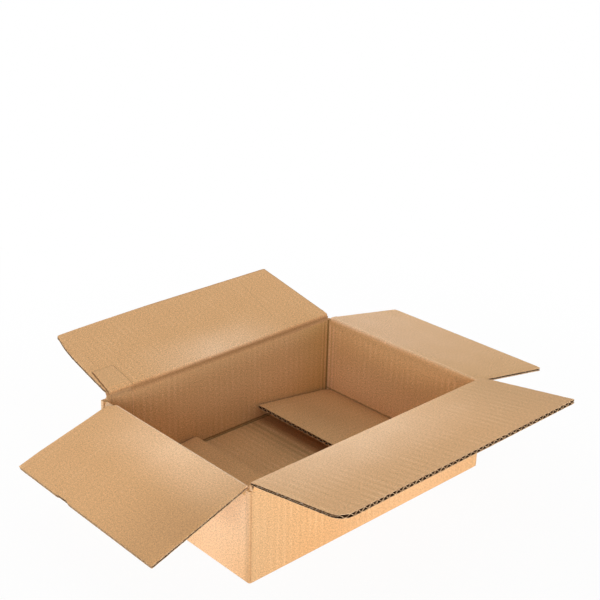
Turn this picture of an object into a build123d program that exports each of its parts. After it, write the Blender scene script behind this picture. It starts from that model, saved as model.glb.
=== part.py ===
from build123d import *
import os

# A regular slotted carton of single-wall corrugated board, folded from one sheet.
# It stands open on its base: X runs along the long walls, Y across, Z up from the floor,
# and the origin is the middle of the footprint.

# Outside size of the carton when it is closed
LENGTH = 312.0
WIDTH = 220.0
HEIGHT = 102.0

# Corrugated board: two liners with a fluted sheet between them
BOARD = 4.0
LINER = 0.4
FLUTE_SHEET = 0.35
FLUTE_PITCH = 7.8
FLUTE_DEPTH = 24.0  # how far the open flutes run in from a free edge

# Flaps: where two of them meet, and how far each stays back from the carton's corner
SEAM = 1.0
SLOT_SETBACK = 6.0
FRONT_SETBACK = 3.0
BLUNTED_CORNER = 1.5
WORN_CORNER = 14.0
WORN_BACK_CORNER = 9.0

# How deep the left flap's back side is torn, at distances from its crease
TORN_SIDE = [(16.0, 3.0), (10.5, 7.0), (8.0, 15.0), (-0.5, 88.0)]

# Creases: the board is crushed towards a rolled edge, and bends about the roll's middle
CREASE_RADIUS = 1.2
SCORE_REACH = 6.0
CREASE_GAP = 0.3
HANG_LIMIT = 50.0  # degrees below level, where a top flap's crease binds

# Folds that stay put, rounded on the outside
FOLD_RADIUS = 3.0
BASE_RADIUS = 2.0
FOLD_FLUTE = 1.3  # size of the flute left open at the top of each vertical fold
FOLD_FLUTE_INSET = 2.3

# Glue tab: it goes on from the left wall, inside the back wall, and up onto the back flap
TAB_WIDTH = 30.0
TAB_RISE = 0.6
TAB_SETBACK = 5.0
TAB_OVERRUN = 33.0

# How each flap stands, in degrees above level
FRONT_TILT = 9.5
BACK_TILT = 12.0
LEFT_TILT = -18.5
RIGHT_TILT = -10.5
INNER_LEFT_TILT = 4.0
INNER_RIGHT_TILT = 8.0

# Sizes that follow
HALF_BOARD = BOARD / 2
ROOT_CLEARANCE = CREASE_RADIUS + CREASE_GAP
LONG_FLAP = LENGTH - 2 * SLOT_SETBACK
FRONT_FLAP = LENGTH - 2 * FRONT_SETBACK
SHORT_FLAP = WIDTH - 2 * SLOT_SETBACK
FLAP_REACH = (WIDTH - BOARD - SEAM) / 2
CAVITY_LENGTH = LENGTH - 2 * BOARD
CAVITY_WIDTH = WIDTH - 2 * BOARD

# Crease heights: closed, the long flaps lie over the short ones, and the base likewise
LONG_CREASE_Z = HEIGHT - HALF_BOARD
SHORT_CREASE_Z = LONG_CREASE_Z - BOARD - TAB_RISE - CREASE_GAP
INNER_CREASE_Z = BOARD + CREASE_GAP + HALF_BOARD
LONG_WALL_TOP = LONG_CREASE_Z - ROOT_CLEARANCE
SHORT_WALL_TOP = SHORT_CREASE_Z - ROOT_CLEARANCE

# Where each crease runs: a frame with X along the crease and Y pointing out of the carton
BACK_CREASE = Pos(0, WIDTH / 2 - HALF_BOARD, LONG_CREASE_Z)
FRONT_CREASE = Pos(0, HALF_BOARD - WIDTH / 2, LONG_CREASE_Z) * Rot(Z=180)
LEFT_CREASE = Pos(HALF_BOARD - LENGTH / 2, 0, SHORT_CREASE_Z) * Rot(Z=90)
RIGHT_CREASE = Pos(LENGTH / 2 - HALF_BOARD, 0, SHORT_CREASE_Z) * Rot(Z=-90)

# The inner base flaps roll against the short walls, and point into the carton
INNER_CREASE_X = CAVITY_LENGTH / 2 - ROOT_CLEARANCE
INNER_LEFT_CREASE = Pos(-INNER_CREASE_X, 0, INNER_CREASE_Z) * Rot(Z=-90)
INNER_RIGHT_CREASE = Pos(INNER_CREASE_X, 0, INNER_CREASE_Z) * Rot(Z=90)

# Each top crease with the width of its flap
TOP_CREASES = [
    (FRONT_CREASE, FRONT_FLAP),
    (BACK_CREASE, LONG_FLAP),
    (LEFT_CREASE, SHORT_FLAP),
    (RIGHT_CREASE, SHORT_FLAP),
]


def flap_profile(grow=0.0):
    """A flap cut across its crease: rolled edge, crushed score, then the full board."""
    root = CREASE_RADIUS + grow
    face = HALF_BOARD + grow
    end = FLAP_REACH + grow
    upper = [(0, root), (SCORE_REACH, face), (end, face)]
    lower = [(end, -face), (SCORE_REACH, -face), (0, -root)]
    board = Polyline(*upper, *lower)
    roll = ThreePointArc((0, -root), (-root, 0), (0, root))
    return Plane.YZ * make_face(board + roll)


def crushed_half(distance):
    """Half the board's thickness at a distance from the crease, within the score."""
    return CREASE_RADIUS + (HALF_BOARD - CREASE_RADIUS) * distance / SCORE_REACH


def flute_channel(rises):
    """One open end of a flute: a three-sided channel between a liner and the fluted sheet."""
    liner_side = HALF_BOARD - LINER
    half_base = FLUTE_PITCH / 2 - FLUTE_SHEET
    peak = liner_side - FLUTE_SHEET
    side = 1 if rises else -1
    corners = [(-half_base, -side * liner_side), (half_base, -side * liner_side), (0, side * peak)]
    opening = Plane.XZ * make_face(Polyline(*corners, close=True))
    return extrude(opening, FLUTE_DEPTH, dir=(0, -1, 0))


def flute_row(width):
    """The channels along a free edge, pointing up and down in turn."""
    step = FLUTE_PITCH / 2
    count = int(width / step) - 1
    channels = [flute_channel(True), flute_channel(False)]
    first = -(count - 1) * step / 2
    return [Pos(first + i * step, FLAP_REACH, 0) * channels[i % 2] for i in range(count)]


def flap(width, blunted_right, blunted_left):
    """A flap lying level, with its flutes open at the free edge and its corners blunted."""
    board = extrude(flap_profile(), width / 2, both=True)
    board = fillet(free_corners(board)[0], blunted_left)
    board = fillet(free_corners(board)[-1], blunted_right)
    return board - flute_row(width)


def free_corners(board):
    """The upright edges at a flap's free end, from left to right."""
    return board.edges().filter_by(Axis.Z).group_by(Axis.Y)[-1].sort_by(Axis.X)


def torn_side(width):
    """What is torn off a flap's side, most of all beside the crease."""
    tear = [(width / 2 - depth, distance) for depth, distance in TORN_SIDE]
    below_crease = [(tear[-1][0], -BOARD), (tear[0][0], -BOARD)]
    return extrude(make_face(Polyline(*tear, *below_crease, close=True)), BOARD, both=True)


def wall_ring():
    """The four walls, the short ones lower so that their flaps close under the long ones."""
    footprint = RectangleRounded(LENGTH, WIDTH, FOLD_RADIUS) - Rectangle(CAVITY_LENGTH, CAVITY_WIDTH)
    ring = extrude(footprint, LONG_WALL_TOP)
    above_short_walls = Box(LENGTH, CAVITY_WIDTH, HEIGHT, align=(Align.CENTER, Align.CENTER, Align.MIN))
    return ring - Pos(0, 0, SHORT_WALL_TOP) * above_short_walls


def base_flaps():
    """The two outer base flaps, folded in flat from the long walls until they meet."""
    depth = (WIDTH - SEAM) / 2 - FOLD_RADIUS
    slab = Box(LONG_FLAP, depth, BOARD, align=(Align.CENTER, Align.MIN, Align.MIN))
    back = Pos(0, SEAM / 2, 0) * slab
    return [back, mirror(back, Plane.XZ)]


def score_wedges(width):
    """What the score crushes away from both faces of a wall, just below its crease."""
    corners = [(HALF_BOARD, -SCORE_REACH), (CREASE_RADIUS, 0), (BOARD, 0), (BOARD, -SCORE_REACH)]
    outside = extrude(Plane.YZ * make_face(Polyline(*corners, close=True)), width / 2, both=True)
    return [outside, mirror(outside, Plane.XZ)]


def crease_relief(width):
    """Room for a flap's root at both ends of its swing, closed and hanging."""
    root = extrude(flap_profile(CREASE_GAP), width / 2 + CREASE_GAP, both=True)
    return [Rot(X=180) * root, Rot(X=-HANG_LIMIT) * root]


def wall_tab():
    """The glue tab on the back wall's inner face, crushed with the wall below the crease."""
    inner = HALF_BOARD + TAB_RISE
    corners = [
        (0, BOARD - LONG_CREASE_Z),
        (-inner, BOARD - LONG_CREASE_Z),
        (-inner, -SCORE_REACH),
        (-crushed_half(ROOT_CLEARANCE) - TAB_RISE, -ROOT_CLEARANCE),
        (0, -ROOT_CLEARANCE),
    ]
    strip = extrude(Plane.YZ * make_face(Polyline(*corners, close=True)), TAB_WIDTH)
    return Pos(-CAVITY_LENGTH / 2, 0, 0) * strip


def flap_tab():
    """The end of the glue tab on the back flap's inner face, from just past the crease."""
    start = HALF_BOARD + TAB_RISE + CREASE_GAP
    width = TAB_WIDTH - TAB_SETBACK
    strip = Box(width, TAB_OVERRUN - start, HALF_BOARD + TAB_RISE, align=(Align.MIN, Align.MIN, Align.MIN))
    return Pos(TAB_SETBACK - CAVITY_LENGTH / 2, start, 0) * strip


def corner_slots(flap_width):
    """The slots beside a flap of the back wall, cut down past the folds to the short walls' height."""
    slot = Box(SLOT_SETBACK, BOARD, HEIGHT, align=(Align.MIN, Align.MAX, Align.MIN))
    slot = Pos(flap_width / 2 + CREASE_GAP, WIDTH / 2, SHORT_WALL_TOP) * slot
    return [slot, mirror(slot, Plane.YZ)]


def fold_flutes():
    """The flute that the slots leave open at the top of each vertical fold."""
    x = LENGTH / 2 - FOLD_FLUTE_INSET
    y = WIDTH / 2 - FOLD_FLUTE_INSET
    channel = extrude(RegularPolygon(FOLD_FLUTE, 3), -FLUTE_DEPTH)
    return [Pos(side * x, end * y, SHORT_WALL_TOP) * channel for side in (1, -1) for end in (1, -1)]


def joint_corner():
    """The back wall's cut end, square at the corner where the glue tab turns in."""
    block = Box(FOLD_RADIUS, FOLD_RADIUS, LONG_WALL_TOP - BASE_RADIUS, align=(Align.MIN, Align.MAX, Align.MIN))
    return Pos(-LENGTH / 2, WIDTH / 2, BASE_RADIUS) * block


def joint_groove():
    """The notch outside that corner, between the back wall's cut end and the left wall's bend."""
    x = -LENGTH / 2
    y = WIDTH / 2 - BOARD
    arc_middle = FOLD_RADIUS * (1 - 0.5**0.5)
    bend = ThreePointArc((x + FOLD_RADIUS, y), (x + arc_middle, y - arc_middle), (x, y - FOLD_RADIUS))
    cut_end = Polyline((x, y - FOLD_RADIUS), (x - BOARD, y - FOLD_RADIUS), (x - BOARD, y), (x + FOLD_RADIUS, y))
    return extrude(make_face(bend + cut_end), HEIGHT)


def carton_body():
    """Walls, outer base flaps and glue tab: the part of the sheet that stays folded."""
    body = wall_ring() + base_flaps()
    base_loop = body.faces().sort_by(Axis.Z)[0].outer_wire().edges()
    body = fillet(base_loop, BASE_RADIUS)
    for crease, width in TOP_CREASES:
        body -= [crease * wedge for wedge in score_wedges(width)]
    body = body + BACK_CREASE * wall_tab() + joint_corner()
    for crease, width in TOP_CREASES:
        body -= [crease * relief for relief in crease_relief(width)]
    body -= corner_slots(LONG_FLAP)
    body -= [mirror(slot, Plane.XZ) for slot in corner_slots(FRONT_FLAP)]
    return body - joint_groove() - fold_flutes()


short_flap = flap(SHORT_FLAP, BLUNTED_CORNER, BLUNTED_CORNER)
front_flap = flap(FRONT_FLAP, WORN_CORNER, BLUNTED_CORNER)
back_flap = flap(LONG_FLAP, BLUNTED_CORNER, WORN_BACK_CORNER) + flap_tab()
left_flap = short_flap - torn_side(SHORT_FLAP)

NODES = {
    "carton_body": carton_body(),
    "top_flap_front": FRONT_CREASE * Rot(X=FRONT_TILT) * front_flap,
    "top_flap_back": BACK_CREASE * Rot(X=BACK_TILT) * back_flap,
    "top_flap_left": LEFT_CREASE * Rot(X=LEFT_TILT) * left_flap,
    "top_flap_right": RIGHT_CREASE * Rot(X=RIGHT_TILT) * short_flap,
    "inner_flap_left": INNER_LEFT_CREASE * Rot(X=INNER_LEFT_TILT) * short_flap,
    "inner_flap_right": INNER_RIGHT_CREASE * Rot(X=INNER_RIGHT_TILT) * short_flap,
}

os.makedirs("parts", exist_ok=True)
for name, solid in NODES.items():
    export_step(solid, f"parts/{name}.step")
    print(name, round(solid.volume), "mm3")
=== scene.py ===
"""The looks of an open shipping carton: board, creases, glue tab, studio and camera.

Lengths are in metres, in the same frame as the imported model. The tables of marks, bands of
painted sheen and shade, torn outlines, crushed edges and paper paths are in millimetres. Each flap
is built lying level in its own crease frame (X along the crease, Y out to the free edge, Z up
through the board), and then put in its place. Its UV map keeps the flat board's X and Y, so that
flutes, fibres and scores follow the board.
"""

from __future__ import annotations

import logging
import math
from dataclasses import dataclass, field
from enum import Enum
from typing import Any, Callable

import bmesh
import bpy
from mathutils import Matrix, Vector

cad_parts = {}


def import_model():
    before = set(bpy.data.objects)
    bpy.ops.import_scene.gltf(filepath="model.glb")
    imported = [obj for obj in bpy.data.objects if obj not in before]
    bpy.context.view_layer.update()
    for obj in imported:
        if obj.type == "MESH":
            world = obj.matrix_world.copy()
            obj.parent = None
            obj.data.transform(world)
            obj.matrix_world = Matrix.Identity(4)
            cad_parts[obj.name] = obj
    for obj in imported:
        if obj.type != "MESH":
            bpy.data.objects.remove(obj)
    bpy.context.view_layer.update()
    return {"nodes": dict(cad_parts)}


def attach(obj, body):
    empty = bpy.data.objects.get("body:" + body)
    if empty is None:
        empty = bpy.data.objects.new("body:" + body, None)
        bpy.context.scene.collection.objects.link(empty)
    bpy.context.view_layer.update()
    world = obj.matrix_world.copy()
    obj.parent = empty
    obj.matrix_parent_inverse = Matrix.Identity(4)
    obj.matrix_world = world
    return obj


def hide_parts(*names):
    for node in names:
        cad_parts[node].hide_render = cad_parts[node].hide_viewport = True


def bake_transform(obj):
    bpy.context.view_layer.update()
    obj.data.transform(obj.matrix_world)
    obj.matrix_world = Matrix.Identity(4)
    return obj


MM = 0.001
TOUCH = 0.01 * MM  # vertices closer than this to a plane lie on it
HAIR = 1e-6  # less than any distance between two rows of vertices
log = logging.getLogger("carton")

Triple = tuple[float, float, float]
Profile = tuple[tuple[float, float], ...]
Stations = tuple[Triple, ...]
Placed = Callable[[Vector], bool]
Piece = bpy.types.Object
Material = bpy.types.Material
Node = bpy.types.Node
Socket = bpy.types.NodeSocket


class Run(Enum):
    """Which way a surface's flutes are counted."""

    BOARD = "across the flat board, from its UV map"
    WALLS = "along each wall of the carton, from the object's own coordinates"


@dataclass(frozen=True)
class BoardSizes:
    """The corrugated board that every panel is made of."""

    thickness: float = 4.0 * MM
    liner: float = 0.4 * MM
    medium: float = 0.45 * MM
    pitch: float = 7.8 * MM

    @property
    def half(self) -> float:
        """Half the board's thickness."""
        return self.thickness / 2

    @property
    def wave(self) -> float:
        """How far the fluted sheet's middle swings up and down."""
        return self.half - self.liner - self.medium / 2


BOARD = BoardSizes()


class Bench:
    """Modelling steps that the pieces share, with the operators that a hand would use."""

    @staticmethod
    def deselect() -> None:
        """Leaves nothing selected, so that an operator acts on the new piece alone."""
        bpy.ops.object.select_all(action="DESELECT")

    @staticmethod
    def take(piece: Piece) -> None:
        """Selects one piece alone and makes it the active one.

        Args:
            piece: the object to select.
        """
        Bench.deselect()
        piece.select_set(True)
        bpy.context.view_layer.objects.active = piece

    @staticmethod
    def grid(columns: int, rows: int) -> Piece:
        """Adds a flat grid, a metre each way, and opens it in edit mode.

        Args:
            columns: how many faces it has along X.
            rows: how many it has along Y.

        Returns:
            The grid's object.
        """
        Bench.deselect()
        bpy.ops.mesh.primitive_grid_add(x_subdivisions=columns, y_subdivisions=rows, size=1.0)
        sheet = bpy.context.object
        Bench.edit(sheet)
        return sheet

    @staticmethod
    def edit(piece: Piece) -> None:
        """Opens one piece in edit mode, with all of it selected.

        Args:
            piece: the object to open.
        """
        Bench.take(piece)
        bpy.ops.object.mode_set(mode="EDIT")
        bpy.ops.mesh.select_all(action="SELECT")

    @staticmethod
    def done() -> None:
        """Goes back to object mode."""
        bpy.ops.object.mode_set(mode="OBJECT")

    @staticmethod
    def pick(piece: Piece, where: Placed) -> int:
        """Selects the vertices of a piece in edit mode by their place.

        Args:
            piece: the object that is open in edit mode.
            where: says of a vertex's place whether it is picked.

        Returns:
            How many vertices are picked.
        """
        mesh = bmesh.from_edit_mesh(piece.data)
        for vertex in mesh.verts:
            vertex.select = where(vertex.co)
        mesh.select_mode = {"VERT"}
        mesh.select_flush_mode()
        bmesh.update_edit_mesh(piece.data)
        return sum(vertex.select for vertex in mesh.verts)

    @staticmethod
    def shift(piece: Piece, where: Placed, step: Triple) -> None:
        """Moves the vertices that are picked by their place."""
        if Bench.pick(piece, where):
            bpy.ops.transform.translate(value=step)

    @staticmethod
    def flatten(piece: Piece, where: Placed, share: float) -> None:
        """Brings the vertices that are picked by their place nearer to Z = 0."""
        Bench.pick(piece, where)
        bpy.ops.transform.resize(value=(1.0, 1.0, share), center_override=(0.0, 0.0, 0.0))

    @staticmethod
    def cut(point: Triple, normal: Triple, trim: bool = False) -> None:
        """Cuts all of the open piece along a plane, and drops what lies beyond it if asked."""
        bpy.ops.mesh.select_all(action="SELECT")
        bpy.ops.mesh.bisect(plane_co=point, plane_no=normal, clear_outer=trim)

    @staticmethod
    def thicken(piece: Piece, **settings: Any) -> None:
        """Gives a sheet its thickness, with a Solidify modifier that is applied.

        Args:
            piece: the sheet.
            settings: the modifier's properties.
        """
        Bench.take(piece)
        modifier = piece.modifiers.new("solidify", "SOLIDIFY")
        for name, value in settings.items():
            setattr(modifier, name, value)
        bpy.ops.object.modifier_apply(modifier=modifier.name)

    @staticmethod
    def join(first: Piece, second: Piece, name: str) -> Piece:
        """Joins a second piece into the first, and names it.

        Args:
            first: the piece that stays.
            second: the piece that goes into it.
            name: the joined piece's name.

        Returns:
            The joined piece.
        """
        Bench.take(first)
        second.select_set(True)
        bpy.ops.object.join()
        first.name = first.data.name = name
        return first

    @staticmethod
    def lay_uv(piece: Piece) -> None:
        """Keeps the flat board's X and Y, in metres, as the piece's UV map.

        Args:
            piece: the piece, still lying flat in its own frame.
        """
        layer = piece.data.uv_layers.new(name="board")
        for loop in piece.data.loops:
            place = piece.data.vertices[loop.vertex_index].co
            layer.data[loop.index].uv = (place.x, place.y)

    @staticmethod
    def settle(piece: Piece, place: Matrix) -> None:
        """Puts a piece in its place, and keeps that place in its mesh.

        Args:
            piece: the finished piece.
            place: where it goes in the carton's frame.
        """
        Bench.take(piece)
        piece.matrix_world = place
        bpy.ops.object.transform_apply(location=True, rotation=True, scale=True)


class Signal:
    """A number that changes over a surface: a node's output that does sums like a number."""

    def __init__(self, graph: Graph, socket: Socket) -> None:
        """Keeps the node graph and the output socket."""
        self.graph = graph
        self.socket = socket

    def _with(self, operation: str, *others: Signal | float) -> Signal:
        """Adds the Math node for one operation on this signal and others."""
        return self.graph.math(operation, self, *others)

    def __add__(self, other: Signal | float) -> Signal:
        """This signal plus another."""
        return self._with("ADD", other)

    __radd__ = __add__

    def __sub__(self, other: Signal | float) -> Signal:
        """This signal less another."""
        return self._with("SUBTRACT", other)

    def __rsub__(self, other: Signal | float) -> Signal:
        """Another less this signal."""
        return self.graph.math("SUBTRACT", other, self)

    def __mul__(self, other: Signal | float) -> Signal:
        """This signal times another."""
        return self._with("MULTIPLY", other)

    __rmul__ = __mul__

    def abs(self) -> Signal:
        """This signal without its sign."""
        return self._with("ABSOLUTE")

    def power(self, exponent: float) -> Signal:
        """This signal to a power."""
        return self._with("POWER", exponent)

    def sine(self) -> Signal:
        """The sine of this signal, in radians."""
        return self._with("SINE")

    def ramp(self, start: float, end: float, low: float = 0.0, high: float = 1.0) -> Signal:
        """This signal mapped smoothly from start..end to low..high, and held beyond them."""
        return self.graph.ramp(self, start, end, low, high)

    def line(self, middle: float, half_width: float) -> Signal:
        """A soft line: 1 at the middle, falling to 0 at half a width to each side."""
        return (self - middle).abs().ramp(half_width, 0.0)


class Graph:
    """The node graph of one material."""

    def __init__(self, name: str) -> None:
        """Starts a material with nothing but its output.

        Args:
            name: the material's name.
        """
        self.material = bpy.data.materials.new(name)
        self.material.use_nodes = True
        self.tree = self.material.node_tree
        self.tree.nodes.clear()
        self.output = self.tree.nodes.new("ShaderNodeOutputMaterial")

    def feed(self, socket: Socket, value: Any) -> None:
        """Links an output to an input, or sets the input's value; a colour gets its alpha.

        Args:
            socket: the input.
            value: a signal, an output, a number or three numbers.
        """
        if isinstance(value, Signal):
            value = value.socket
        if isinstance(value, Socket):
            self.tree.links.new(value, socket)
        else:
            socket.default_value = (*value, 1.0) if socket.type == "RGBA" else value

    def node(self, kind: str, settings: dict[str, Any], *values: Any, **named: Any) -> Node:
        """Adds any node.

        Args:
            kind: the node's type.
            settings: its properties, set first.
            values: what its first inputs get, in order.
            named: what other inputs get, by name with spaces as underscores.

        Returns:
            The node.
        """
        made = self.tree.nodes.new(kind)
        for name, value in settings.items():
            setattr(made, name, value)
        for socket, value in zip(made.inputs, values):
            self.feed(socket, value)
        for name, value in named.items():
            self.feed(made.inputs[name.replace("_", " ")], value)
        return made

    def math(self, operation: str, *values: Signal | float) -> Signal:
        """One Math node, as a signal."""
        made = self.node("ShaderNodeMath", {"operation": operation}, *values)
        return Signal(self, made.outputs[0])

    def ramp(self, value: Signal, start: float, end: float, low: float, high: float) -> Signal:
        """One smooth Map Range node, as a signal.

        Args:
            value: the signal that is mapped.
            start: where the ramp starts, which may be above its end.
            end: where it ends.
            low: what it gives at its start and before it.
            high: what it gives at its end and past it.

        Returns:
            The mapped signal.
        """
        settings = {"interpolation_type": "SMOOTHSTEP", "clamp": True}
        if start > end:
            start, end, low, high = end, start, high, low
        made = self.node("ShaderNodeMapRange", settings, value, start, end, low, high)
        return Signal(self, made.outputs[0])

    def point(self, x: Signal | float, y: Signal | float, z: Signal | float) -> Socket:
        """A vector from three numbers."""
        return self.node("ShaderNodeCombineXYZ", {}, x, y, z).outputs[0]

    def parts(self, vector: Socket) -> tuple[Signal, ...]:
        """A vector's three numbers."""
        made = self.node("ShaderNodeSeparateXYZ", {}, vector)
        return tuple(Signal(self, output) for output in made.outputs)

    def place(self, kind: str = "Object") -> Socket:
        """A point's own coordinates, or with another kind its Normal."""
        return self.node("ShaderNodeTexCoord", {}).outputs[kind]

    def board(self) -> tuple[Signal, Signal]:
        """A point's place on the flat board, across the flutes and along them."""
        across, along, _ = self.parts(self.node("ShaderNodeUVMap", {"uv_map": "board"}).outputs[0])
        return across, along

    def noise(self, at: Socket, scale: float, detail: float, roughness: float = 0.5) -> Signal:
        """Smooth noise, about 0.5 on average."""
        settings = {"Vector": at, "Scale": scale, "Detail": detail, "Roughness": roughness}
        return Signal(self, self.node("ShaderNodeTexNoise", {}, **settings).outputs[0])

    def blend(self, factor: Signal | float, low: Any, high: Any, kind: str = "MIX") -> Socket:
        """A colour between two others, or one times the other for MULTIPLY.

        Args:
            factor: how much of the second colour there is.
            low: the first colour.
            high: the second colour.
            kind: how the two are put together.

        Returns:
            The colour's output.
        """
        settings = {"data_type": "RGBA", "blend_type": kind, "clamp_factor": True}
        made = self.node("ShaderNodeMix", settings, factor)
        colours = [socket for socket in made.inputs if socket.type == "RGBA"]
        for socket, value in zip(colours, (low, high)):
            self.feed(socket, value)
        return next(socket for socket in made.outputs if socket.type == "RGBA")

    def surface(self, shader: Node) -> Material:
        """Ends the material with one shader."""
        self.tree.links.new(shader.outputs[0], self.output.inputs["Surface"])
        return self.material

    def paper(
        self, colour: Socket, roughness: Signal, gloss: float, height: Signal | None = None
    ) -> Material:
        """Ends the material as paper.

        Args:
            colour: its colour.
            roughness: how dull it is.
            gloss: the level of its mirror part.
            height: how far its surface stands up, in metres, or None where it is flat.

        Returns:
            The material.
        """
        inputs = {"Base_Color": colour, "Roughness": roughness.ramp(0.0, 1.0)}
        if height is not None:
            bump = self.node("ShaderNodeBump", {}, Strength=1.0, Distance=1.0, Height=height)
            inputs["Normal"] = bump.outputs[0]
        shader = self.node("ShaderNodeBsdfPrincipled", {}, Specular_IOR_Level=gloss, **inputs)
        return self.surface(shader)


@dataclass(frozen=True)
class Speckle:
    """One layer of noise over the flat board, drawn out where a share is under 1."""

    scale: float
    layer: float
    detail: float = 2.0
    roughness: float = 0.5
    across: float = 1.0
    along: float = 1.0

    def over(self, graph: Graph, across: Signal, along: Signal) -> Signal:
        """The noise at a place on the board."""
        at = graph.point(across * self.across, along * self.along, self.layer)
        return graph.noise(at, self.scale, self.detail, self.roughness)


FIBRES = Speckle(1050.0, 0.0, roughness=0.75, across=0.8)
SPECKS = Speckle(600.0, 3.1, detail=3.0, roughness=0.85, along=0.9)
STREAKS = Speckle(330.0, 21.3, roughness=0.6, along=0.10)
CLOUDS = Speckle(34.0, 7.7)
FLECKS = Speckle(620.0, 12.9, detail=1.0, across=0.5)
SHIVES = Speckle(480.0, 31.4, detail=1.0, across=0.35)
WANDER = Speckle(260.0, 5.5, detail=3.0)


class Wall(Enum):
    """Faces of the folded body: the way one faces, and over which range of facing it counts.

    The last value is True inside the walls, False outside them and None for the floor.
    """

    FRONT_OUT = ((0.0, -1.0, 0.0), (0.60, 0.85), False)
    LEFT_OUT = ((-1.0, 0.0, 0.0), (0.60, 0.85), False)
    CORNER_OUT = ((-0.707, -0.707, 0.0), (0.74, 0.95), False)
    CORNER_LINE = ((-0.5, -0.866, 0.0), (0.93, 0.995), False)
    BACK_IN = ((0.0, -1.0, 0.0), (0.60, 0.85), True)
    RIGHT_IN = ((-1.0, 0.0, 0.0), (0.60, 0.85), True)
    FLOOR_IN = ((0.0, 0.0, 1.0), (0.60, 0.85), None)

    def mask(self, graph: Graph) -> Signal:
        """1 on this face, and 0 elsewhere.

        Args:
            graph: the material's node graph.

        Returns:
            The mask.
        """
        _, spread, inner = self.value
        mask = self._share(graph, "Normal").ramp(*spread)
        if inner is None:
            return mask
        near, far = (-20 * MM, -50 * MM) if inner else (20 * MM, 50 * MM)
        return mask * self._share(graph, "Object").ramp(near, far)

    def _share(self, graph: Graph, kind: str) -> Signal:
        """How far a point's place or its facing goes this face's way."""
        parts = zip(graph.parts(graph.place(kind)), self.value[0])
        return sum((part * way for part, way in parts if way), start=0.0)


WHOLE = 1000.0  # half a width that covers all of a face, in millimetres


@dataclass(frozen=True)
class Mark:
    """A band painted on the paper, in millimetres: most are painted shade or painted highlight
    along creases, edges, corners and the glue tab, and some mark a score, a rub or glue.

    A strength under 0 is a dark mark. A level mark lies along the crease, at its middle's
    distance from it.
    """

    middle: float
    half_width: float
    strength: float
    level: bool = False
    wall: Wall | None = None
    start: float = -WHOLE
    end: float = WHOLE
    slope: float = 0.0
    colour: Triple | None = None
    fade: float = 3.0
    fine: float = 1.5

    def band(self, graph: Graph, across: Signal, along: Signal, wander: Signal) -> Signal:
        """How much of the mark there is at a place on the board.

        Args:
            graph: the material's node graph.
            across: the distance across the flutes.
            along: the distance along them.
            wander: how far the mark strays, which a fine mark does less.

        Returns:
            A share between 0 and the mark's strength.
        """
        place, length = (along, across) if self.level else (across, along)
        if self.slope:
            place = place - length * self.slope
        stray = wander * min(1.0, self.half_width / self.fine)
        band = (place + stray).line(self.middle * MM, self.half_width * MM) * abs(self.strength)
        if self.start > -WHOLE or self.end < WHOLE:
            band = band * length.ramp((self.start - self.fade) * MM, self.start * MM)
            band = band * length.ramp((self.end + self.fade) * MM, self.end * MM)
        return band * self.wall.mask(graph) if self.wall else band


@dataclass(frozen=True)
class PaintedLight:
    """A band of painted light beside a crease, strongest at one place along it, in millimetres: a
    painted sheen where its colour is pale, painted shade where it is dark.
    """

    strength: float
    reach: float
    middle: float
    spread: float
    colour: Triple = (0.98, 0.665, 0.41)

    def amount(self, across: Signal, along: Signal, clouds: Signal) -> Signal:
        """How much of this painted light there is at a place on the board.

        Args:
            across: the distance along the crease.
            along: the distance from it.
            clouds: slow noise that breaks the painted light up.

        Returns:
            A share between 0 and 1.
        """
        beside = (across - self.middle * MM).abs().ramp(self.spread * MM, 0.0)
        near = along.ramp(self.reach * MM, 0.0) * beside * along.ramp(-3 * MM, 0.6 * MM)
        return near * self.strength * (clouds * 0.6 + 0.7)


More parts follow.
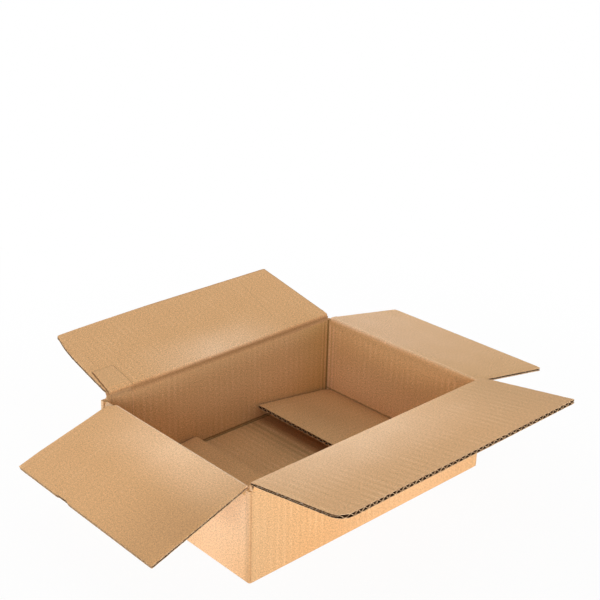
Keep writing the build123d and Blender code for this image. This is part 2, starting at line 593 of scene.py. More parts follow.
@dataclass(frozen=True)
class KraftFinish:
    """Kraft liner paper over flutes: its fibres, its washboard and its soft shine, with painted
    sheen, shade and highlight laid over its colour.
    """

    name: str
    run: Run
    paper: Triple = (0.72, 0.43, 0.20)
    deep: Triple = (0.50, 0.26, 0.105)
    pale: Triple = (0.90, 0.60, 0.325)
    # The pale of rubbed paper for the shives, and the painted highlight that the pale marks take.
    worn_and_highlight: Triple = (0.98, 0.665, 0.41)
    # The colour that the dark marks take, most of them painted shade.
    dark: Triple = (0.17, 0.075, 0.03)
    fleck: Triple = (0.30, 0.15, 0.07)
    washboard: float = 0.06 * MM
    # How strongly the washboard is painted as shade into the paper's colour.
    washboard_shade: float = 0.02
    grain: float = 1.0
    fibre_grain: float = 1.7
    speck_grain: float = 1.5
    grain_in_tone: float = 0.25
    grain_in_shade: float = 0.62
    streaks: float = 0.22
    clouds: float = 0.22
    fleck_share: float = 0.40
    shive_share: float = 0.35
    fibre: float = 0.035 * MM
    stray: float = 1.6 * MM
    dullness: float = 0.66
    gloss: float = 0.28
    painted_lights: tuple[PaintedLight, ...] = ()
    marks: tuple[Mark, ...] = ()

    def material(self) -> Material:
        """Builds the material.

        Returns:
            A material for one or more pieces of board.
        """
        graph = Graph(self.name)
        across, along = self._board_place(graph)
        wave = (across * (2 * math.pi / BOARD.pitch)).sine()
        layers = (FIBRES, SPECKS, STREAKS, CLOUDS)
        fibres, specks, streaks, clouds = (layer.over(graph, across, along) for layer in layers)
        grain = (fibres - 0.5) * self.fibre_grain + (specks - 0.5) * self.speck_grain
        tone = grain * (self.grain * self.grain_in_tone)
        tone = tone + (streaks - 0.5) * self.streaks + (clouds - 0.5) * self.clouds
        # Painted shade of the washboard: the paper darker and paler with the flutes' wave, broken
        # up by the clouds.
        tone = tone + wave * self.washboard_shade * clouds.ramp(0.30, 0.62, 0.2, 1.7) + 0.5
        colour = graph.blend(tone.ramp(0.0, 0.5), self.deep, self.paper)
        colour = graph.blend(tone.ramp(0.5, 1.0), colour, self.pale)
        flecks = FLECKS.over(graph, across, along).ramp(0.70, 0.80)
        shives = SHIVES.over(graph, across, along).ramp(0.72, 0.80)
        colour = graph.blend(flecks * self.fleck_share, colour, self.fleck)
        colour = graph.blend(shives * self.shive_share, colour, self.worn_and_highlight)
        colour = self._paint_light_and_marks(graph, colour, across, along, clouds)
        shade = grain * (self.grain * self.grain_in_shade) + 1.0
        colour = graph.blend(1.0, colour, graph.point(shade, shade, shade), "MULTIPLY")
        height = wave * (self.washboard / 2) + fibres * self.fibre
        height = height + (specks + streaks) * (self.fibre * 0.8)
        return graph.paper(colour, fibres * 0.2 + self.dullness, self.gloss, height)

    def _paint_light_and_marks(
        self, graph: Graph, colour: Socket, across: Signal, along: Signal, clouds: Signal
    ) -> Socket:
        """Paints the bands of painted sheen and shade, and the marks, most of them painted shade
        and highlight, over the paper.

        Args:
            graph: the material's node graph.
            colour: the paper so far.
            across: the distance across the flutes.
            along: the distance along them.
            clouds: slow noise that breaks the painted sheen and shade up.

        Returns:
            The colour with the painted light and the marks over it.
        """
        # Bands of painted sheen and painted shade beside the crease.
        for painted_light in self.painted_lights:
            colour = graph.blend(painted_light.amount(across, along, clouds), colour, painted_light.colour)
        wander = (WANDER.over(graph, across, along) - 0.5) * self.stray
        # Marks, most of them painted shade and painted highlight along creases, edges and corners.
        for mark in self.marks:
            target = mark.colour or (self.worn_and_highlight if mark.strength > 0 else self.dark)
            colour = graph.blend(mark.band(graph, across, along, wander), colour, target)
        return colour

    def _board_place(self, graph: Graph) -> tuple[Signal, Signal]:
        """Where a point lies across the flutes and along them.

        Args:
            graph: the material's node graph.

        Returns:
            The two distances, in metres.
        """
        if self.run is Run.BOARD:
            return graph.board()
        x, y, z = graph.parts(graph.place())
        facing_x, _, facing_z = graph.parts(graph.place("Normal"))
        on_short = facing_x.abs().ramp(0.45, 0.55)
        on_base = facing_z.abs().ramp(0.6, 0.8)
        across = x * (1 - on_short) + y * on_short
        along = z * (1 - on_base) + y * on_base
        return across, along


@dataclass(frozen=True)
class InsideFinish:
    """Paper inside the board: painted dark as shade between the liners, and shown lit only beside
    a cut edge.
    """

    name: str
    reach: float
    lit: float = 1.5 * MM
    tufts_from: float = 16.0 * MM
    tufts_to: float = 5.0 * MM
    fibre: float = 0.03 * MM
    fibre_scale: float = 1300.0
    tuft_scale: float = 420.0
    tuft_share: float = 0.8
    # Painted shade between the liners.
    deep: Triple = (0.08, 0.04, 0.02)
    paper: Triple = (0.66, 0.43, 0.24)
    torn: Triple = (0.72, 0.60, 0.47)
    dullness: float = 0.8
    gloss: float = 0.2

    def material(self) -> Material:
        """Builds the material.

        Returns:
            A material for the fluted sheet and for the liners' inner faces.
        """
        graph = Graph(self.name)
        _, along = graph.board()
        place = graph.place()
        fibres = graph.noise(place, self.fibre_scale, 3.0, 0.6)
        # Painted shade: the deep colour everywhere inside, the paper's own colour only within the
        # lit reach of a cut edge.
        edge = along.ramp(self.reach - self.lit, self.reach)
        colour = graph.blend(edge * (fibres + 0.5), self.deep, self.paper)
        inward = along.ramp(self.reach - self.tufts_to, self.reach - self.tufts_from)
        tufts = graph.noise(place, self.tuft_scale, 3.0, 0.7).ramp(0.53, 0.63) * inward
        colour = graph.blend(tufts * self.tuft_share, colour, self.torn)
        dull = fibres * 0.1 + self.dullness
        return graph.paper(colour, dull, self.gloss, fibres * self.fibre)


@dataclass(frozen=True)
class CutFinish:
    """The cut rim of a liner: pale, with torn fibres in between."""

    name: str
    pale: Triple = (0.74, 0.50, 0.29)
    torn: Triple = (0.26, 0.13, 0.06)
    tuft_scale: float = 900.0
    dullness: float = 0.8
    gloss: float = 0.2

    def material(self) -> Material:
        """Builds the material.

        Returns:
            A material for the liners' cut rims.
        """
        graph = Graph(self.name)
        tufts = graph.noise(graph.place(), self.tuft_scale, 3.0, 0.7)
        colour = graph.blend(tufts.ramp(0.38, 0.56), self.torn, self.pale)
        return graph.paper(colour, tufts * 0.1 + self.dullness, self.gloss)


@dataclass
class PaperStack:
    """The papers of one flap: its liners' two faces, the inside painted dark as shade, and the cut
    rims.
    """

    face: Material
    under: Material
    inside: Material
    cut: Material

    def dress(self, sheet: Piece) -> None:
        """Gives a pair of liners their papers, as the Solidify modifier's offsets expect them.

        Args:
            sheet: the two liners and their roll, before they have a thickness.
        """
        papers = (self.face, self.inside, self.cut, self.under, self.inside, self.cut)
        for paper in papers:
            sheet.data.materials.append(paper)
        for face in sheet.data.polygons:
            face.material_index = papers.index(self.under) if face.normal.z < -0.2 else 0


@dataclass
class Flap:
    """One flap of corrugated board, from its rolled crease to the open flutes of its free edge.

    Its outline's tables give how deep the edge is torn in at each distance along it. Its crush
    tables give how far the liner is pressed down from each distance on.
    """

    node: str
    width: float
    crease: Matrix
    tilt: float
    finish: KraftFinish
    worn_right: float = 1.5 * MM
    worn_left: float = 1.5 * MM
    reach: float = 107.5 * MM
    draw_reach: float = 30.0 * MM
    right_side: Profile = ()
    left_side: Profile = ()
    free_edge: Profile = ()
    rim_crush: Profile = ((0.0, 0.70), (1.0, 0.36), (2.6, 0.10))
    rim_end: float = 4.0
    score_crush: Profile = ((0.0, 0.58), (2.0, 0.52), (4.0, 0.28), (6.0, 0.08))
    score_end: float = 9.0
    rough: float = 0.12 * MM
    flutes_from: float = 5.0 * MM
    pressed_to: float = 6.0 * MM
    left_at_score: float = 0.55
    left_at_sides: float = 0.45

    def build(self, papers: PaperStack) -> Piece:
        """Models the flap and puts it in the place of its solid.

        Args:
            papers: the finishes of its liners, of its inside and of its cut rims.

        Returns:
            The finished board.
        """
        skin = self._liners(papers)
        flutes = self._flutes(papers)
        board = Bench.join(skin, flutes, f"{self.node}_board")
        Bench.lay_uv(board)
        Bench.settle(board, self.place)
        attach(board, self.node)
        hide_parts(self.node)
        return board

    @property
    def turn(self) -> float:
        """How far the flap stands above level, in radians."""
        return math.radians(self.tilt)

    @property
    def place(self) -> Matrix:
        """From the level flap's own frame to where it stands."""
        return self.crease @ Matrix.Rotation(self.turn, 4, "X")

    def _from_side(self, place: Vector) -> float:
        """How far a place is from the nearer cut side, before the side is torn in."""
        return self.width / 2 - abs(place.x)

    def _sheet(self, columns: int, rows: int, start: float) -> Piece:
        """A flat grid the size of the flap, from a distance off the crease to the free edge.

        Args:
            columns: how many faces it has along the crease.
            rows: how many it has out from the crease.
            start: how far from the crease it begins.

        Returns:
            The grid, open in edit mode.
        """
        sheet = Bench.grid(columns, rows)
        bpy.ops.transform.resize(value=(self.width, self.reach - start, 1.0))
        bpy.ops.transform.translate(value=(0.0, (self.reach + start) / 2, 0.0))
        return sheet

    def draw_in(self, sheet: Piece) -> None:
        """Draws the cut sides and the free edge in to their torn outline.

        Args:
            sheet: a sheet of the flap, open in edit mode.
        """
        mesh = bmesh.from_edit_mesh(sheet.data)
        for vertex in mesh.verts:
            place = vertex.co
            side = self.right_side if place.x > 0 else self.left_side
            near_side = max(0.0, 1.0 - self._from_side(place) / self.draw_reach)
            near_end = max(0.0, 1.0 - (self.reach - place.y) / self.draw_reach)
            inward = math.copysign(self._torn(side, place.y) * near_side, place.x)
            place.y -= self._torn(self.free_edge, place.x) * near_end
            place.x -= inward
        bmesh.update_edit_mesh(sheet.data)

    @staticmethod
    def _torn(edge: Profile, distance: float) -> float:
        """How deep an edge is torn at a distance along it.

        Args:
            edge: depths at distances, in millimetres.
            distance: the distance, in metres.

        Returns:
            The depth, in metres.
        """
        if not edge:
            return 0.0
        at = min(max(distance / MM, edge[0][1]), edge[-1][1])
        for (depth, near), (next_depth, far) in zip(edge, edge[1:]):
            if at <= far:
                return (depth + (next_depth - depth) * (at - near) / (far - near)) * MM
        return edge[-1][0] * MM

    def _trim_corners(self) -> None:
        """Rounds the free edge's two corners with straight cuts, more for a large radius."""
        for side, radius in ((1, self.worn_right), (-1, self.worn_left)):
            middle = Vector((side * (self.width / 2 - radius), self.reach - radius, 0.0))
            steps = 2 if radius < 4 * MM else 7
            for step in range(steps):
                angle = math.radians(90.0 * (step + 0.5) / steps)
                outward = Vector((side * math.cos(angle), math.sin(angle), 0.0))
                Bench.cut(middle + outward * radius, outward, trim=True)

    def _liners(self, papers: PaperStack) -> Piece:
        """The two liners and the rolled crease between them, crushed at the sides and the score.

        Args:
            papers: the finishes of the flap.

        Returns:
            The liners' object.
        """
        sheet = self._sheet(round(self.width / BOARD.pitch * 4), 52, 0.0)
        bpy.ops.transform.translate(value=(0.0, 0.0, BOARD.half))
        for distance, _ in self.score_crush[1:]:
            Bench.cut((0.0, distance * MM, 0.0), (0.0, 1.0, 0.0))
        for distance, _ in self.rim_crush[1:]:
            for side in (1, -1):
                Bench.cut((side * (self.width / 2 - distance * MM), 0.0, 0.0), (1.0, 0.0, 0.0))
        self.crush(sheet)
        self._trim_corners()
        Bench.pick(sheet, lambda p: p.y > self.reach - TOUCH or self._from_side(p) < TOUCH)
        bpy.ops.transform.vertex_random(
            offset=self.rough, uniform=0.0, normal=0.0, seed=len(self.node)
        )
        self.draw_in(sheet)
        self._mirror_down(sheet)
        Bench.done()
        papers.dress(sheet)
        Bench.thicken(
            sheet, thickness=BOARD.liner, offset=-1.0, material_offset=1, material_offset_rim=2
        )
        return sheet

    def crush(self, sheet: Piece) -> None:
        """Presses the liner down along the score and along the two cut sides."""
        self._press(sheet, (*self.score_crush, (self.score_end, 0.0)), lambda p: p.y)
        self._press(sheet, (*self.rim_crush, (self.rim_end, 0.0)), self._from_side)

    @staticmethod
    def _press(sheet: Piece, steps: Profile, inward: Callable[[Vector], float]) -> None:
        """Presses what lies between each distance and the next down by the first one's depth.

        Args:
            sheet: a sheet of the flap, open in edit mode.
            steps: distances and how far the sheet is pressed down from there, in millimetres.
            inward: gives a vertex's distance from the score or the side, in metres.
        """
        for (near, drop), (far, _) in zip(steps, steps[1:]):
            low, high = near * MM - HAIR, far * MM - HAIR
            Bench.shift(sheet, lambda p: low <= inward(p) < high, (0.0, 0.0, -drop * MM))

    @staticmethod
    def _mirror_down(sheet: Piece) -> None:
        """Adds the lower liner, and the roll that joins the two at the crease.

        Args:
            sheet: the upper liner, open in edit mode.
        """
        bpy.ops.mesh.select_all(action="SELECT")
        bpy.ops.mesh.duplicate()
        bpy.ops.transform.resize(value=(1.0, 1.0, -1.0), center_override=(0.0, 0.0, 0.0))
        bpy.ops.mesh.flip_normals()
        Bench.pick(sheet, lambda p: p.y < TOUCH and p.z > 0.0)
        bpy.ops.mesh.spin(steps=8, angle=-math.pi, center=(0.0, 0.0, 0.0), axis=(1.0, 0.0, 0.0))
        bpy.ops.mesh.select_all(action="SELECT")
        bpy.ops.mesh.remove_doubles(threshold=2 * TOUCH)

    def _flutes(self, papers: PaperStack) -> Piece:
        """The fluted sheet, a sine wave across the flap, pressed flat towards the score.

        Args:
            papers: the finishes of the flap.

        Returns:
            The fluted sheet's object.
        """
        per_wave = 8
        columns = round(self.width / BOARD.pitch * per_wave)
        sheet = self._sheet(columns, 12, self.flutes_from)
        step = self.width / columns
        for phase in range(per_wave):
            rise = BOARD.wave * math.cos(phase * math.tau / per_wave)
            Bench.shift(
                sheet,
                lambda p: round((p.x + self.width / 2) / step) % per_wave == phase,
                (0.0, 0.0, rise),
            )
        crushed = self.rim_crush[-1][0] * MM
        Bench.flatten(sheet, lambda p: p.y < self.pressed_to, self.left_at_score)
        Bench.flatten(sheet, lambda p: self._from_side(p) < crushed, self.left_at_sides)
        self._trim_corners()
        self.draw_in(sheet)
        Bench.done()
        sheet.data.materials.append(papers.inside)
        sheet.data.materials.append(papers.cut)
        Bench.thicken(sheet, thickness=BOARD.medium, offset=0.0, material_offset_rim=1)
        return sheet


@dataclass(frozen=True)
class CreasePath:
    """A liner's way over a crease, from the wall to the flap, in millimetres.

    Each station gives how far along the paper it is from the crease, then how far out and how
    high it is in the crease's frame. The flap's stations are given for a level flap.
    """

    side: str
    wall: Stations
    flap: Stations
    last_on_wall: int
    faces_down: bool

    def stations(self, turn: float) -> list[Triple]:
        """The path's points in metres, with the flap's part turned to where the flap stands.

        Args:
            turn: how far the flap stands above level, in radians.

        Returns:
            Each point's place along the paper, how far out it is and how high.
        """
        cos, sin = math.cos(turn), math.sin(turn)
        turned = tuple(
            (along, out * cos - up * sin, out * sin + up * cos) for along, out, up in self.flap
        )
        return [(along * MM, out * MM, up * MM) for along, out, up in self.wall + turned]


INSIDE_PATH = CreasePath(
    side="inner",
    wall=(
        (-9.0, -1.86, -9.0),
        (-7.0, -2.03, -7.0),
        (-4.5, -2.03, -4.5),
        (-2.7, -1.94, -2.7),
        (-1.2, -1.80, -1.2),
        (-0.2, -1.58, 0.1),
        (0.6, -1.22, 1.0),
    ),
    flap=(
        (1.3, 0.0, 1.56),
        (2.6, 2.0, 1.62),
        (4.6, 4.0, 1.80),
        (6.1, 5.5, 1.92),
        (8.6, 8.0, 1.90),
    ),
    last_on_wall=3,
    faces_down=False,
)
OUTSIDE_PATH = CreasePath(
    side="outer",
    wall=((-9.0, 1.86, -9.0), (-7.0, 2.03, -7.0), (-4.5, 2.04, -4.5), (-3.2, 2.12, -3.2)),
    flap=((-1.5, 3.2, -1.75), (0.0, 4.6, -1.88), (1.5, 6.1, -1.95), (3.5, 8.1, -1.92)),
    last_on_wall=2,
    faces_down=True,
)


@dataclass
class CreasePaper:
    """A liner that runs on over a top flap's crease, on the inside or the outside."""

    flap: Flap
    path: CreasePath
    thickness: float = 0.25 * MM
    setback: float = 0.5 * MM
    columns: int = 80

    def build(self, liner: Material) -> Piece:
        """Models the paper, shaped over the crease to where the flap stands.

        Args:
            liner: the finish of the flap's face.

        Returns:
            The finished paper.
        """
        stations = self.path.stations(self.flap.turn)
        last = len(stations) - 1
        paper = Bench.grid(self.columns, last)
        paper.name = paper.data.name = f"{self.flap.node}_{self.path.side}_crease"
        bpy.ops.transform.resize(value=(self.flap.width - 2 * self.setback, 1.0, 1.0))
        rows = [row / last - 0.5 for row in range(len(stations))]
        spread = [(row, along - row, 0.0) for row, (along, _, _) in zip(rows, stations)]
        self._move_rows(paper, spread)
        self.flap.draw_in(paper)
        Bench.done()
        Bench.lay_uv(paper)
        Bench.edit(paper)
        self._move_rows(paper, [(along, out - along, up) for along, out, up in stations])
        if self.path.faces_down:
            bpy.ops.mesh.select_all(action="SELECT")
            bpy.ops.mesh.flip_normals()
        Bench.done()
        Bench.thicken(paper, thickness=self.thickness, offset=-1.0)
        paper.data.materials.append(liner)
        Bench.settle(paper, self.flap.crease)
        self._bend(paper, stations)
        return paper

    @staticmethod
    def _move_rows(paper: Piece, moves: list[Triple]) -> None:
        """Moves rows of vertices, each one once: a moved row is held far up until the end.

        Args:
            paper: the paper, open in edit mode.
            moves: each row's Y, then how far it goes along Y and up.
        """
        lift = 1.0
        for row, along, up in moves:
            Bench.shift(
                paper,
                lambda p: abs(p.y - row) < HAIR and p.z < lift / 2,
                (0.0, along, lift + up),
            )
        Bench.shift(paper, lambda p: p.z > lift / 2, (0.0, 0.0, -lift))

    def _bend(self, paper: Piece, stations: list[Triple]) -> None:
        """Keeps the paper's place in its mesh; the ends of its bend on the wall and on the flap
        are found but not used.

        Args:
            paper: the finished paper, in its place.
            stations: the points of its path.
        """
        ends = (stations[self.path.last_on_wall], stations[len(self.path.wall) + 1])
        start, end = (self.flap.crease @ Vector((0.0, *station[1:])) for station in ends)
        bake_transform(paper)
        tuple(start)
        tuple(end)


@dataclass
class GlueTab:
    """The end of the glue tab on the back flap's inner face, torn a little along its edges."""

    flap: Flap
    left: float = -147.6 * MM
    right: float = -120.4 * MM
    start: float = 3.2 * MM
    end: float = 32.6 * MM
    rise: float = 0.55 * MM
    sunk: float = 0.15 * MM
    drop: float = 0.2 * MM
    rough: float = 0.35 * MM
    lean: float = 0.12

    def build(self, liner: Material) -> Piece:
        """Models the tab and puts it on the flap.

        Args:
            liner: the tab's finish.

        Returns:
            The finished tab.
        """
        tab = Bench.grid(25, 32)
        tab.name = tab.data.name = "glue_tab_end"
        bpy.ops.transform.resize(value=(self.right - self.left, self.end - self.start, 1.0))
        middle = ((self.left + self.right) / 2, (self.start + self.end) / 2)
        bpy.ops.transform.translate(value=(*middle, BOARD.half + self.rise))
        Bench.pick(tab, self._on_rim)
        bpy.ops.transform.vertex_random(offset=self.rough, uniform=0.0, normal=0.0, seed=5)
        Bench.shift(tab, self._on_rim, (0.0, 0.0, -self.drop))
        self._lean(tab)
        self.flap.crush(tab)
        Bench.done()
        Bench.thicken(tab, thickness=self.rise + self.sunk, offset=-1.0)
        tab.data.materials.append(liner)
        Bench.lay_uv(tab)
        Bench.settle(tab, self.flap.place)
        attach(tab, self.flap.node)
        return tab

    def _lean(self, tab: Piece) -> None:
        """Leans the tab's outer side in towards its end.

        Args:
            tab: the tab, open in edit mode.
        """
        mesh = bmesh.from_edit_mesh(tab.data)
        for vertex in mesh.verts:
            outer = (self.right - vertex.co.x) / (self.right - self.left)
            vertex.co.x += self.lean * outer * (vertex.co.y - self.start)
        bmesh.update_edit_mesh(tab.data)

    def _on_rim(self, place: Vector) -> bool:
        """Whether a vertex is on the tab's outline.

        Args:
            place: the vertex's place.

        Returns:
            True within half a millimetre of the outline.
        """
        near = 0.5 * MM
        beside = place.x < self.left + near or place.x > self.right - near
        return beside or place.y > self.end - near or place.y < self.start + near


@dataclass
class Carton:
    """The whole carton: its folded body and the flaps on their creases."""

    length: float = 312.0 * MM
    width: float = 220.0 * MM
    long_crease_z: float = 100.0 * MM
    short_crease_z: float = 95.1 * MM
    inner_crease_x: float = 150.5 * MM
    inner_crease_z: float = 6.3 * MM
    setback: float = 6.0 * MM
    front_setback: float = 3.0 * MM
    under: Material | None = field(default=None, repr=False)
    inside: Material | None = field(default=None, repr=False)
    cut: Material | None = field(default=None, repr=False)

    def dress(self) -> None:
        """Makes the finishes that the flaps share."""
        self.under = KraftFinish("kraft_underside", Run.BOARD).material()
        self.inside = InsideFinish("paper_inside", Flap.reach).material()
        self.cut = CutFinish("cut_rims").material()

    def papers(self, finish: KraftFinish) -> PaperStack:
        """The papers of one flap, whose upper face has its own finish."""
        return PaperStack(finish.material(), self.under, self.inside, self.cut)

    def body(self, node: Piece) -> None:
        """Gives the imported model's own body its finish.

        Args:
            node: the body's object.
        """
        marks = (*self._inside_marks(), *self._outside_marks())
        looks = {"washboard": 0.08 * MM, "washboard_shade": 0.07, "grain": 1.3, "marks": marks}
        node.data.materials.clear()
        node.data.materials.append(KraftFinish("kraft_walls", Run.WALLS, **looks).material())

    @staticmethod
    def _inside_marks() -> tuple[Mark, ...]:
        """Painted shade and highlight inside: the glue tab's outline, under the creases, in the
        inside corner and over the flutes beside it, along the walls' feet and on the floor.

        Returns:
            The marks, in the order in which they are painted.
        """
        back, right, floor = Wall.BACK_IN, Wall.RIGHT_IN, Wall.FLOOR_IN
        # A dark greenish brown for the painted shade in corners, along the flutes and on the
        # floor.
        olive_shade = (0.16, 0.10, 0.022)
        # Painted shade on the floor: darker along its washboard lines beside the right inner flap,
        # and greenish in the shadow under that flap.
        crushed = (
            (12.2, 4.2, 0.06),
            (20.0, 4.2, 0.11),
            (27.8, 4.2, 0.19),
            (35.6, 4.4, 0.28),
            (60.0, 30.0, 0.14),
        )
        return (
            # The back wall paler and yellower all over and paler at mid height, with painted shade
            # under its crease and towards the inside corner.
            Mark(0.0, WHOLE, 0.20, wall=back, colour=(0.74, 0.57, 0.35)),
            Mark(94.0, 22.0, -0.13, level=True, wall=back),
            Mark(45.0, 32.0, 0.12, level=True, wall=back),
            Mark(150.0, 75.0, 0.35, wall=back, colour=(0.47, 0.29, 0.05)),
            # Painted shadow and highlight along the glue tab's edges on the back wall, and painted
            # shade under the crease beside it.
            Mark(-121.9, 0.8, -0.45, wall=back),
            Mark(-120.6, 0.8, 0.35, wall=back),
            Mark(-146.5, 0.8, -0.40, wall=back),
            Mark(96.8, 4.6, -0.42, level=True, wall=back, start=-151.0, end=-122.0),
            # Painted shade in the inside corner, painted shade and highlight over the flutes
            # beside it, and painted shade along the wall's foot.
            Mark(151.2, 1.8, 0.85, wall=back, colour=olive_shade),
            Mark(148.4, 1.6, 0.16, wall=back),
            Mark(145.8, 1.1, 0.42, wall=back, colour=olive_shade),
            Mark(143.4, 1.6, 0.12, wall=back),
            Mark(141.0, 1.0, 0.20, wall=back, colour=olive_shade),
            Mark(5.4, 1.8, 0.75, level=True, wall=back, colour=olive_shade),
            # The right wall paler low down, with painted shade under its crease, in the inside
            # corner, over the flutes beside it and along its foot.
            Mark(20.0, 55.0, 0.48, level=True, wall=right),
            Mark(89.0, 8.0, -0.09, level=True, wall=right),
            Mark(105.6, 0.8, 0.65, wall=right, colour=olive_shade),
            Mark(103.2, 2.0, 0.42, wall=right),
            Mark(100.6, 1.5, 0.17, wall=right, colour=olive_shade),
            Mark(98.0, 2.2, 0.34, wall=right),
            Mark(95.2, 1.5, 0.12, wall=right, colour=olive_shade),
            Mark(92.6, 2.2, 0.16, wall=right),
            Mark(8.8, 1.8, 0.60, level=True, wall=right, colour=olive_shade),
            # Painted shade on the floor, and along its edge at the back wall.
            *(Mark(*band, wall=floor, colour=olive_shade) for band in crushed),
            Mark(105.0, 2.2, 0.80, level=True, wall=floor, colour=olive_shade),
        )

    @staticmethod
    def _outside_marks() -> tuple[Mark, ...]:
        """Painted light and shade on the outer walls, the bruised upright fold and the flute left
        open at its top, painted dark as its shade.

        Returns:
            The marks, in the order in which they are painted.
        """
        front, left = Wall.FRONT_OUT, Wall.LEFT_OUT
        bruise = (0.42, 0.22, 0.095)
        # The colour of the painted light on the outer walls.
        pale = (0.99, 0.71, 0.47)
        return (
            # Painted light: the left wall paler towards its front end and its top, the front wall
            # paler towards its right end; painted shade darkens the front wall's left end.
            Mark(-50.0, 90.0, 0.62, wall=left, colour=pale),
            Mark(72.0, 66.0, 0.60, level=True, wall=left, colour=pale),
            Mark(60.0, 150.0, 0.32, wall=front),
            Mark(-156.0, 90.0, 0.50, wall=front, colour=(0.60, 0.40, 0.22)),
            Mark(-107.0, 4.5, 0.35, wall=left, colour=bruise),
            Mark(0.0, WHOLE, 0.48, wall=Wall.CORNER_OUT, colour=bruise),
            Mark(0.0, WHOLE, 0.42, wall=Wall.CORNER_LINE, colour=bruise),
            Mark(-152.8, 1.6, 0.22, wall=front, colour=bruise),
            # The flute left open at the top of the upright fold, painted dark as its shade.
            Mark(-151.6, 1.5, -0.92, wall=front, start=94.0),
        )

    @staticmethod
    def _back_flap_marks() -> tuple[Mark, ...]:
        """Painted shade along and below the fold, painted shadow along the glue tab's outline, a
        faint crease and the flap's dark edges.

        Returns:
            The marks, in the order in which they are painted.
        """
        return (
            # Painted shade below the fold and along it.
            Mark(-7.5, 7.0, 0.60, level=True, colour=(0.47, 0.30, 0.15)),
            Mark(-2.8, 4.6, -0.55, level=True),
            Mark(-1.0, 2.2, -0.22, level=True, start=-150.0, end=-95.0),
            # Painted shadow along the glue tab's edges and in the gap beside it.
            Mark(-119.8, 0.7, -0.55, start=1.0, end=32.0),
            Mark(33.4, 0.7, -0.30, level=True, start=-143.0, end=-120.0),
            Mark(-149.0, 1.5, -0.90, start=1.0, end=32.0, slope=0.12),
            Mark(83.9, 1.0, -0.16, start=18.0, end=97.0, slope=0.197),
            Mark(106.8, 0.9, -0.35, level=True, start=-100.0),
            Mark(149.2, 0.9, -0.35, start=6.0),
        )

    def flaps(self) -> list[Flap]:
        """The six flaps, each with its crease and its own wear.

        Returns:
            The flaps, ready to be built.
        """
        back = self.width / 2 - BOARD.half
        side = self.length / 2 - BOARD.half
        short_flap = self.width - 2 * self.setback
        return [
            Flap(
                "top_flap_front",
                self.length - 2 * self.front_setback,
                crease(0, -back, self.long_crease_z, 180),
                9.5,
                KraftFinish(
                    "kraft_front_flap",
                    Run.BOARD,
                    paper=(0.77, 0.455, 0.222),
                    washboard_shade=0.085,
                    painted_lights=(
                        # Painted shade towards the flap's right end, and a painted sheen beside
                        # the crease.
                        PaintedLight(0.55, 400.0, -155.0, 120.0, (0.58, 0.36, 0.18)),
                        PaintedLight(0.88, 92.0, 32.0, 180.0),
                    ),
                    # A painted highlight along the fold's crest.
                    marks=(Mark(0.3, 1.6, 0.40, level=True),),
                ),
                worn_right=14 * MM,
                rim_crush=((0.0, 0.30), (1.2, 0.14), (2.6, 0.04)),
            ),
            Flap(
                "top_flap_back",
                self.length - 2 * self.setback,
                crease(0, back, self.long_crease_z, 0),
                12.0,
                KraftFinish(
                    "kraft_back_flap",
                    Run.BOARD,
                    paper=(0.79, 0.455, 0.208),
                    washboard_shade=0.045,
                    grain=1.3,
                    # A painted sheen beside the crease.
                    painted_lights=(PaintedLight(0.74, 54.0, -5.0, 118.0),),
                    marks=self._back_flap_marks(),
                ),
                worn_left=2.5 * MM,
                left_side=((0.0, 8.0), (1.2, 35.0), (2.9, 64.0), (5.2, 84.0), (9.0, 103.0)),
                free_edge=((3.8, -150.0), (1.6, -90.0), (0.0, -20.0)),
            ),
            Flap(
                "top_flap_left",
                short_flap,
                crease(-side, 0, self.short_crease_z, 90),
                -18.5,
                KraftFinish(
                    "kraft_left_flap",
                    Run.BOARD,
                    paper=(0.765, 0.437, 0.198),
                    washboard_shade=0.035,
                    # Painted shade towards the flap's front end, and a painted sheen beside the
                    # crease.
                    painted_lights=(
                        PaintedLight(0.85, 400.0, -112.0, 120.0, (0.56, 0.31, 0.135)),
                        PaintedLight(0.90, 60.0, -25.0, 132.0, (0.98, 0.645, 0.38)),
                    ),
                    # A painted highlight along the fold's crest.
                    marks=(Mark(-0.5, 2.2, 0.85, level=True, colour=(1.0, 0.78, 0.54)),),
                ),
                right_side=(
                    (15.8, 2.2),
                    (12.7, 3.8),
                    (10.8, 5.4),
                    (9.0, 8.0),
                    (8.4, 14.0),
                    (7.8, 26.0),
                    (4.0, 83.0),
                    (3.7, 107.5),
                ),
                free_edge=((0.0, 19.0), (1.0, 20.5), (0.8, 34.5), (0.0, 36.0)),
            ),
            Flap(
                "top_flap_right",
                short_flap,
                crease(side, 0, self.short_crease_z, -90),
                -10.5,
                KraftFinish(
                    "kraft_right_flap",
                    Run.BOARD,
                    washboard_shade=0.04,
                    grain=1.35,
                    # A painted sheen over the flap beside the crease.
                    painted_lights=(PaintedLight(0.6, 260.0, -80.0, 230.0, (0.87, 0.60, 0.40)),),
                    # A painted highlight along the fold's crest, and painted shade on the wall
                    # just under it.
                    marks=(Mark(1.2, 1.3, 0.60, level=True), Mark(-6.0, 6.5, -0.12, level=True)),
                ),
            ),
            Flap(
                "inner_flap_left",
                short_flap,
                crease(-self.inner_crease_x, 0, self.inner_crease_z, -90),
                4.0,
                KraftFinish("kraft_inner_left", Run.BOARD, washboard_shade=0.04, grain=1.3),
            ),
            Flap(
                "inner_flap_right",
                short_flap,
                crease(self.inner_crease_x, 0, self.inner_crease_z, 90),
                8.0,
                KraftFinish(
                    "kraft_inner_right",
                    Run.BOARD,
                    paper=(0.75, 0.46, 0.22),
                    washboard_shade=0.04,
                    grain=1.4,
                ),
            ),
        ]


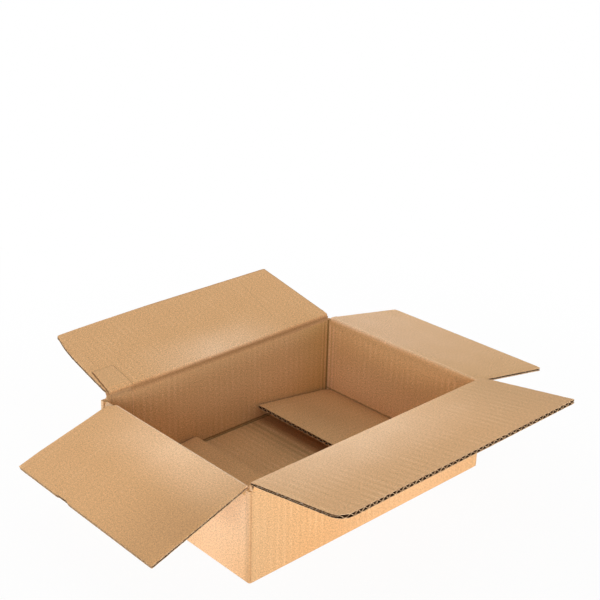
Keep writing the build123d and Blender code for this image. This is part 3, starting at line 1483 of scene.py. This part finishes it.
def crease(x: float, y: float, z: float, heading: float) -> Matrix:
    """The frame of a crease.

    Args:
        x: the crease's middle, along the carton.
        y: its middle, across the carton.
        z: its height.
        heading: how far the frame is turned about the upright, in degrees.

    Returns:
        A matrix from the crease's frame to the carton's.
    """
    return Matrix.Translation((x, y, z)) @ Matrix.Rotation(math.radians(heading), 4, "Z")


def way_out(heading: float, height: float) -> Vector:
    """The way out from the carton towards a lamp or the camera.

    Args:
        heading: its heading in degrees, 0 being the front wall's side.
        height: how far it looks up, in degrees.

    Returns:
        A vector one long.
    """
    turn, rise = math.radians(heading), math.radians(height)
    level = math.cos(rise)
    return Vector((math.sin(turn) * level, -math.cos(turn) * level, math.sin(rise)))


@dataclass(frozen=True)
class Lamp:
    """One soft area lamp that points at the carton from a heading."""

    name: str
    heading: float
    height: float
    width: float
    depth: float
    power: float
    away: float = 1.8
    aim: Triple = (0.0, 0.0, 0.06)

    def hang(self) -> None:
        """Adds the lamp."""
        way = way_out(self.heading, self.height)
        Bench.deselect()
        bpy.ops.object.light_add(type="AREA", location=Vector(self.aim) + way * self.away)
        lamp = bpy.context.object
        lamp.name = self.name
        lamp.data.shape = "RECTANGLE"
        lamp.data.size = self.width
        lamp.data.size_y = self.depth
        lamp.data.energy = self.power
        lamp.rotation_euler = (-way).to_track_quat("-Z", "Y").to_euler()


@dataclass
class Studio:
    """A pale floor, a white surround, soft lamps and the camera.

    The camera's viewpoint is the photograph's, fitted to the carton's corners and creases.
    """

    floor_size: float = 8.0
    floor_drop: float = 0.2 * MM
    sky: float = 0.23
    floor_white: float = 0.93
    shadow_reach: float = 0.30
    white_reach: float = 0.78
    white_near: float = 0.945
    camera_place: Triple = (-0.7182, -0.7426, 0.6228)
    camera_heading: float = -40.193
    camera_height: float = 22.671
    sensor_width: float = 36.0
    lens: float = 70.28
    shift: float = 0.125
    clip_start: float = 0.05
    lamps: tuple[Lamp, ...] = (
        Lamp("front_strip", -5.0, 4.5, 1.5, 0.26, 14.9),
        Lamp("left_strip", -88.0, 4.5, 1.2, 0.26, 4.5),
        Lamp("corner_lamp", -45.0, 8.0, 1.0, 1.0, 14.8),
        Lamp("left_lamp", -88.0, 8.0, 1.0, 1.0, 5.7),
        Lamp("back_strip", 175.0, 14.0, 1.2, 0.5, 15.8),
        Lamp("right_strip", 92.0, 14.0, 1.2, 0.5, 5.8),
        Lamp("back_lamp", 170.0, 32.0, 1.2, 1.2, 7.4),
        Lamp("right_lamp", 95.0, 32.0, 1.0, 1.0, 5.2),
        Lamp("top_lamp", 0.0, 88.0, 1.2, 1.2, 4.0),
    )

    def build(self) -> None:
        """Sets up the surround, the floor, the lamps and the camera."""
        self._surround()
        self._floor()
        for lamp in self.lamps:
            lamp.hang()
            log.info("lamp %s", lamp.name)
        self._camera()

    def _surround(self) -> None:
        """A white world that lights softly and shows as plain white."""
        world = bpy.data.worlds.new("surround")
        bpy.context.scene.world = world
        world.use_nodes = True
        nodes, links = world.node_tree.nodes, world.node_tree.links
        path = nodes.new("ShaderNodeLightPath")
        strength = nodes.new("ShaderNodeMapRange")
        strength.inputs["To Min"].default_value = self.sky
        strength.inputs["To Max"].default_value = 1.0
        links.new(path.outputs["Is Camera Ray"], strength.inputs["Value"])
        links.new(strength.outputs[0], nodes["Background"].inputs["Strength"])
        nodes["Background"].inputs["Color"].default_value = (1.0, 1.0, 1.0, 1.0)

    def _floor(self) -> None:
        """A pale floor that keeps the carton's shadow."""
        place = (0.0, 0.0, -self.floor_drop)
        Bench.deselect()
        bpy.ops.mesh.primitive_plane_add(size=self.floor_size, location=place)
        floor = bpy.context.object
        floor.name = "studio_floor"
        graph = Graph("studio_floor")
        matt = graph.node("ShaderNodeBsdfDiffuse", {}, Color=(self.floor_white,) * 3)
        glow = graph.node("ShaderNodeEmission", {}, Color=(1.0, 1.0, 1.0), Strength=1.0)
        seen = Signal(graph, graph.node("ShaderNodeLightPath", {}).outputs["Is Camera Ray"])
        x, y, _ = graph.parts(graph.place())
        away = (x * x + y * y).power(0.5)
        white = seen * away.ramp(self.shadow_reach, self.white_reach, self.white_near, 1.0)
        mixed = graph.node("ShaderNodeMixShader", {}, white, matt.outputs[0], glow.outputs[0])
        floor.data.materials.append(graph.surface(mixed))

    def _camera(self) -> None:
        """Adds the camera."""
        Bench.deselect()
        bpy.ops.object.camera_add(location=self.camera_place)
        camera = bpy.context.object
        camera.name = "camera"
        way = way_out(self.camera_heading, self.camera_height)
        camera.rotation_euler = (-way).to_track_quat("-Z", "Y").to_euler()
        camera.data.sensor_width = self.sensor_width
        camera.data.lens = self.lens
        camera.data.shift_x = self.shift
        camera.data.clip_start = self.clip_start
        bpy.context.scene.camera = camera


def main() -> None:
    """Builds the carton's looks and the studio, piece by piece."""
    logging.basicConfig(level=logging.INFO, format="%(name)s: %(message)s")
    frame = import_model()
    bpy.context.scene.view_settings.view_transform = "Standard"
    carton = Carton()
    carton.dress()
    carton.body(frame["nodes"]["carton_body"])
    log.info("dressed the folded body")
    for flap in carton.flaps():
        papers = carton.papers(flap.finish)
        board = flap.build(papers)
        log.info("%s: %d faces", board.name, len(board.data.polygons))
        if flap.node.startswith("top"):
            CreasePaper(flap, INSIDE_PATH).build(papers.face)
            CreasePaper(flap, OUTSIDE_PATH).build(papers.under)
            log.info("%s: crease papers", flap.node)
        if flap.node == "top_flap_back":
            finish = KraftFinish("kraft_glue_tab", Run.BOARD, paper=(0.77, 0.45, 0.21))
            tab = GlueTab(flap).build(finish.material())
            log.info("%s: %d faces", tab.name, len(tab.data.polygons))
    Studio().build()


if __name__ == "__main__":
    main()
